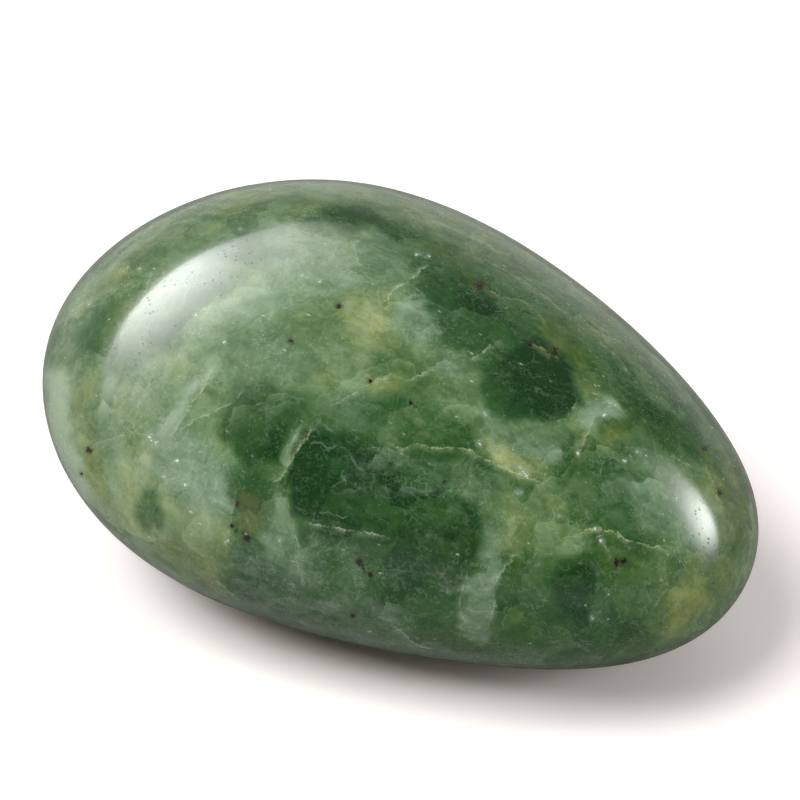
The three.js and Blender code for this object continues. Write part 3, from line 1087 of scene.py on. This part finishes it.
FLOOR_REACH = 3.0
NEAR_FLOOR = (0.15, 0.42)  # metres from the stone over which the floor becomes an even white backdrop
FLOOR_WHITE = (0.5, 0.49, 0.485, 1.0)
FLOOR_SHOWN = (1.26, 1.17, 1.155, 1.0)  # what the camera sees is exposed brighter, as in a product photo
FLOOR_PAINTED_CONTACT_SHADOW = (0.7, 0.58, 0.53, 1.0)  # painted contact shadow: darker and warmer right beside the stone
FLOOR_MIRRORED = (0.26, 0.26, 0.26, 1.0)  # and its reflection in the polish is dimmer
FAR_FLOOR = (1.0, 1.0, 1.0, 1.0)
FAR_FLOOR_MIRRORED = (0.5, 0.5, 0.5, 1.0)
PAINTED_SHADOW_REACH = 5 * MM
OPEN_SHARES = (0.75, 0.25)  # from open floor to the painted contact shadow, by how much of its sky is open
PAINTED_SHADOW_SAMPLES = 6
AIR_ROUND = (0.25, 0.25, 0.255, 1.0)
AIR_AT_HORIZON = (0.5, 0.5, 0.5, 1.0)  # as the polish mirrors it
AIR_ABOVE = (0.15, 0.15, 0.15, 1.0)
AIR_CLIMB = (0.0, 0.45)  # the sine of the height over which it dims
AIR_SHOWN = (0.93, 0.93, 0.93, 1.0)


def white_table():
    mesh = bpy.data.meshes.new("white_table")
    corners = [(-FLOOR_REACH, -FLOOR_REACH, 0), (FLOOR_REACH, -FLOOR_REACH, 0),
               (FLOOR_REACH, FLOOR_REACH, 0), (-FLOOR_REACH, FLOOR_REACH, 0)]
    mesh.from_pydata(corners, [], [(0, 1, 2, 3)])
    material = bpy.data.materials.new("white_table")
    material.use_nodes = True
    top = Finish(material.node_tree)
    place = top.node("ShaderNodeTexCoord", out="Object")
    away = top.node("ShaderNodeVectorMath", {"operation": "LENGTH"}, {0: place}, out="Value")
    seen = top.node("ShaderNodeLightPath", out="Is Camera Ray")
    mirrored = seen.beside("Is Glossy Ray")
    # painted contact shadow: where the stone closes off the floor's sky, the colour the camera sees turns
    # darker and warmer
    sockets = {"Distance": PAINTED_SHADOW_REACH}
    open_sky = top.node("ShaderNodeAmbientOcclusion", {"samples": PAINTED_SHADOW_SAMPLES}, sockets, out="AO")
    shown = top.colours(top.step(open_sky, *OPEN_SHARES), FLOOR_SHOWN, FLOOR_PAINTED_CONTACT_SHADOW)
    white = top.colours(mirrored, top.colours(seen, FLOOR_WHITE, shown), FLOOR_MIRRORED)
    near = top.node("ShaderNodeBsdfDiffuse", None, {"Color": white})
    distant = top.colours(mirrored, FAR_FLOOR, FAR_FLOOR_MIRRORED)
    far = top.node("ShaderNodeEmission", None, {"Color": distant})
    shader = top.node("ShaderNodeMixShader", None, {0: top.step(away, *NEAR_FLOOR), 1: near, 2: far})
    top.node("ShaderNodeOutputMaterial", None, {"Surface": shader})
    mesh.materials.append(material)
    table = bpy.data.objects.new("white_table", mesh)
    bpy.context.scene.collection.objects.link(table)
    return table


def softbox(name, towards, along, distance, size, glow, lights=True, mirrored=True):
    """A panel that looks at the stone, as bright over its face as glow says. It lights things, or is
    mirrored in them, or both."""
    light = bpy.data.lights.new(name, "AREA")
    light.shape = "RECTANGLE"
    light.size, light.size_y = size
    light.energy = math.pi * size[0] * size[1]  # so that the panel's strength is its radiance
    light.use_nodes = True
    panel = Finish(light.node_tree)
    across = panel.node("ShaderNodeNewGeometry", out="Parametric")
    x = panel.node("ShaderNodeSeparateXYZ", None, {"Vector": across})
    strength = glow(panel, (x - 0.5) * size[0], (x.beside("Y") - 0.5) * size[1])
    shader = panel.node("ShaderNodeEmission", None, {"Strength": strength})
    panel.node("ShaderNodeOutputLight", None, {"Surface": shader})
    out = Vector(towards).normalized()
    right = (Vector(along) - out * out.dot(Vector(along))).normalized()
    rise = out.cross(right)
    box = bpy.data.objects.new(name, light)
    bpy.context.scene.collection.objects.link(box)
    turned = Matrix((right, rise, out)).transposed().to_4x4()
    box.matrix_world = Matrix.Translation(out * distance) @ turned
    box.visible_camera = False
    box.visible_diffuse = lights
    box.visible_glossy = mirrored


def bell(value, middle, width):
    """1 at the middle, and falling off to both sides like a bell."""
    off = (value - middle) * (1 / width)
    return (off * off * -1.0).maths("EXPONENT")


# The glow of the long window, in metres over its face
WINDOW_RADIANCE = 10.2
WINDOW_EDGE = -0.345  # the height of its lower edge
WINDOW_SAG = 0.22  # how strongly that edge bows
WINDOW_EDGE_SOFT = 0.02
WINDOW_FADES = (0.08, 0.58)  # above the edge
WINDOW_FADED = 0.94
WINDOW_MIDDLE = 0.08
WINDOW_WIDTH = 0.62
WINDOW_WEAK_END = (0.0, -0.4)
WINDOW_WEAKER = 0.45

# The glow of the small panel, whose one crisp edge slants
SMALL_RADIANCE = 12.0
SMALL_EDGE_WAY = (-0.617, 0.787)  # across the edge
SMALL_EDGE = -0.165
SMALL_EDGE_SOFT = 0.05
SMALL_DEPTH = (0.1, 0.16)  # the middle and width of its glow, across the edge and then along it
SMALL_LENGTH = (-0.09, 0.2)

EVEN_WIDTH = 2.0  # metres: an even panel hardly dims to its ends


def window_glow(panel, x, y):
    """A long window: a crisp lower edge, brightest just above it, fading upwards and to its ends."""
    above = y + x * x * WINDOW_SAG - WINDOW_EDGE
    edge = panel.step(above, 0.0, WINDOW_EDGE_SOFT)
    fading = 1 - panel.step(above, *WINDOW_FADES) * WINDOW_FADED
    short_end = 1 - panel.step(x, *WINDOW_WEAK_END) * WINDOW_WEAKER
    return edge * fading * bell(x, WINDOW_MIDDLE, WINDOW_WIDTH) * short_end * WINDOW_RADIANCE


def small_glow(panel, x, y):
    """A smaller, softer panel with one crisp edge."""
    cos, sin = SMALL_EDGE_WAY
    inside = x * cos + y * sin - SMALL_EDGE
    along = x * sin - y * cos
    edge = panel.step(inside, 0.0, SMALL_EDGE_SOFT)
    return edge * bell(inside, *SMALL_DEPTH) * bell(along, *SMALL_LENGTH) * SMALL_RADIANCE


def even_glow(radiance):
    return lambda panel, x, y: bell(x, 0.0, EVEN_WIDTH) * radiance


# Where each panel stands from the stone, the way of its own first side, its distance, its size and its glow
MIRRORED_PANELS = {
    "left_softbox": ((-0.573, 0.063, 0.818), (-0.446, -0.872, -0.203), 0.9, (2.2, 1.2), window_glow),
    "right_softbox": ((0.67, 0.56, 0.47), (-0.5, 0.6, 0.3), 0.9, (0.9, 0.7), small_glow),
}
LIGHTING_PANELS = {
    "key_panel": ((-0.25, -0.53, 0.81), (1, 0, 0), 1.0, (0.55, 0.55), even_glow(9.0)),
    "side_panel": ((0.906, 0, 0.423), (0, 1, 0), 1.0, (0.35, 0.35), even_glow(9.5)),
    "back_panel": ((-0.42, 0.78, 0.45), (1, 0, 0), 1.0, (0.6, 0.6), even_glow(1.5)),
}


def studio_air():
    """The room: dim to what mirrors it, pale where the camera looks past the table."""
    world = bpy.data.worlds.new("studio_air")
    bpy.context.scene.world = world
    world.use_nodes = True
    air = Finish(world.node_tree)
    seen = air.node("ShaderNodeLightPath", out="Is Camera Ray")
    mirrored = seen.beside("Is Glossy Ray")
    way = air.node("ShaderNodeTexCoord", out="Generated")
    height = air.node("ShaderNodeSeparateXYZ", None, {"Vector": way}, out="Z")
    fading = air.colours(air.step(height, *AIR_CLIMB), AIR_AT_HORIZON, AIR_ABOVE)
    lighting = air.node("ShaderNodeBackground", None, {"Color": AIR_ROUND})
    dim = air.node("ShaderNodeBackground", None, {"Color": fading})
    pale = air.node("ShaderNodeBackground", None, {"Color": AIR_SHOWN})
    around = air.node("ShaderNodeMixShader", None, {0: mirrored, 1: lighting, 2: dim})
    both = air.node("ShaderNodeMixShader", None, {0: seen, 1: around, 2: pale})
    air.node("ShaderNodeOutputWorld", None, {"Surface": both})


def camera():
    data = bpy.data.cameras.new("camera")
    data.lens = LENS
    data.sensor_width = SENSOR
    data.sensor_fit = "HORIZONTAL"
    data.clip_start = 10 * MM
    eye = bpy.data.objects.new("camera", data)
    bpy.context.scene.collection.objects.link(eye)
    axes = Matrix((PHOTO_EYE.right, PHOTO_EYE.up, PHOTO_EYE.back)).transposed().to_4x4()
    eye.matrix_world = Matrix.Translation(PHOTO_EYE.place) @ axes
    bpy.context.scene.camera = eye


camera()
stone = jade_stone()
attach(stone, "root")
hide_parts("jade_stone")
white_table()
for name, panel in MIRRORED_PANELS.items():
    softbox(name, *panel, lights=False)
for name, panel in LIGHTING_PANELS.items():
    softbox(name, *panel, mirrored=False)
studio_air()
bpy.context.scene.view_settings.view_transform = "Standard"
